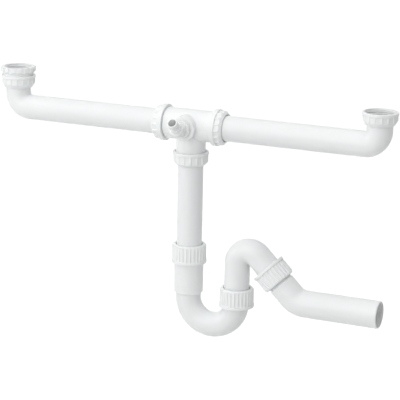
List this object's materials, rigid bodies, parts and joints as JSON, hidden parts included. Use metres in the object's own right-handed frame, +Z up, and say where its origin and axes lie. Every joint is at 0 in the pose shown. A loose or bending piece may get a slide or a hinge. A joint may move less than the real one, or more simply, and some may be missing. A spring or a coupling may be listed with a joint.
{
  "type": "double bowl sink trap",
  "caption": "Plastic waste trap for a double bowl sink: tee between inlet arms, hose tail, drop pipe, U-bend, swan neck and outlet pipe.",
  "frame": {"origin": "centre of the left inlet's mouth, at the top of its adapter", "axes": "+Z up out of the inlets, +X along the arms from the left inlet to the right one, hose tail towards -Y"},
  "size_m": [0.6649, 0.1075, 0.405],
  "materials": {
    "white_plastic": "satin",
    "seal_rubber": "matte",
    "washer_plastic": "matte"
  },
  "bodies": {
    "left_inlet": {"left_inlet_adapter": "white_plastic", "left_inlet_washer": "washer_plastic"},
    "left_inlet_nut": {"left_inlet_nut": "white_plastic"},
    "left_arm": {"left_arm": "white_plastic"},
    "left_arm_seal": {"left_arm_seal": "seal_rubber"},
    "tee": {"tee_body": "white_plastic", "tail_pipe": "white_plastic", "tail_seal": "seal_rubber"},
    "left_arm_nut": {"left_arm_nut": "white_plastic"},
    "right_arm_nut": {"right_arm_nut": "white_plastic"},
    "right_arm_seal": {"right_arm_seal": "seal_rubber"},
    "right_arm": {"right_arm": "white_plastic", "right_inlet_washer": "washer_plastic"},
    "right_inlet_nut": {"right_inlet_nut": "white_plastic"},
    "hose_tail": {"hose_tail": "white_plastic", "hose_ring": "seal_rubber"},
    "tail_nut": {"tail_nut": "white_plastic"},
    "trap_inlet_seal": {"trap_inlet_seal": "seal_rubber"},
    "u_bend": {"u_bend": "white_plastic", "trap_outlet_seal": "seal_rubber"},
    "trap_inlet_nut": {"trap_inlet_nut": "white_plastic"},
    "trap_outlet_nut": {"trap_outlet_nut": "white_plastic"},
    "swan_neck": {"swan_neck": "white_plastic", "outlet_seal": "seal_rubber"},
    "outlet_nut": {"outlet_nut": "white_plastic"},
    "outlet_elbow": {"outlet_elbow": "white_plastic"}
  },
  "joints": [
    {"name": "left_inlet_nut_turn", "type": "hinge", "parent": "left_inlet", "child": "left_inlet_nut", "pos_m": [0, 0, -0.02], "axis": [0, 0, 1], "continuous": true},
    {"name": "left_inlet_swivel", "type": "hinge", "parent": "left_inlet", "child": "left_arm", "pos_m": [0, 0, -0.02], "axis": [0, 0, 1], "continuous": true},
    {"name": "left_arm_slide", "type": "slide", "parent": "left_arm", "child": "left_arm_seal", "axis": [1, 0, 0], "range_m": [-0.006, 0.012]},
    {"name": "left_arm_swivel", "type": "hinge", "parent": "left_arm_seal", "child": "tee", "pos_m": [0.305, 0, -0.065], "axis": [1, 0, 0], "continuous": true},
    {"name": "left_arm_nut_turn", "type": "hinge", "parent": "tee", "child": "left_arm_nut", "pos_m": [0.305, 0, -0.065], "axis": [1, 0, 0], "continuous": true},
    {"name": "right_arm_nut_turn", "type": "hinge", "parent": "tee", "child": "right_arm_nut", "pos_m": [0.305, 0, -0.065], "axis": [1, 0, 0], "continuous": true},
    {"name": "right_arm_swivel", "type": "hinge", "parent": "tee", "child": "right_arm_seal", "pos_m": [0.305, 0, -0.065], "axis": [1, 0, 0], "continuous": true},
    {"name": "right_arm_slide", "type": "slide", "parent": "right_arm_seal", "child": "right_arm", "axis": [1, 0, 0], "range_m": [-0.006, 0.012]},
    {"name": "right_inlet_nut_turn", "type": "hinge", "parent": "right_arm", "child": "right_inlet_nut", "pos_m": [0.6092, 0, -0.02], "axis": [0, 0, 1], "continuous": true},
    {"name": "hose_swivel", "type": "hinge", "parent": "tee", "child": "hose_tail", "pos_m": [0.305, 0, -0.065], "axis": [0, -1, 0], "continuous": true},
    {"name": "tail_nut_turn", "type": "hinge", "parent": "tee", "child": "tail_nut", "pos_m": [0.305, 0, -0.065], "axis": [0, 0, 1], "continuous": true},
    {"name": "trap_slide", "type": "slide", "parent": "tee", "child": "trap_inlet_seal", "axis": [0, 0, 1], "range_m": [-0.015, 0.016]},
    {"name": "trap_swivel", "type": "hinge", "parent": "trap_inlet_seal", "child": "u_bend", "pos_m": [0.305, 0, -0.065], "axis": [0, 0, 1], "continuous": true},
    {"name": "trap_inlet_nut_turn", "type": "hinge", "parent": "u_bend", "child": "trap_inlet_nut", "pos_m": [0.305, 0, -0.065], "axis": [0, 0, 1], "continuous": true},
    {"name": "trap_outlet_nut_turn", "type": "hinge", "parent": "u_bend", "child": "trap_outlet_nut", "pos_m": [0.3876, 0, -0.3438], "axis": [0, 0, 1], "continuous": true},
    {"name": "neck_swivel", "type": "hinge", "parent": "u_bend", "child": "swan_neck", "pos_m": [0.3876, 0, -0.3438], "axis": [0, 0, 1], "range_deg": [-100, 100]},
    {"name": "outlet_nut_turn", "type": "hinge", "parent": "swan_neck", "child": "outlet_nut", "pos_m": [0.45354, 0, -0.29329], "axis": [0.7071, 0, -0.7071], "continuous": true},
    {"name": "outlet_swivel", "type": "hinge", "parent": "swan_neck", "child": "outlet_elbow", "pos_m": [0.45354, 0, -0.29329], "axis": [0.7071, 0, -0.7071], "continuous": true}
  ]
}
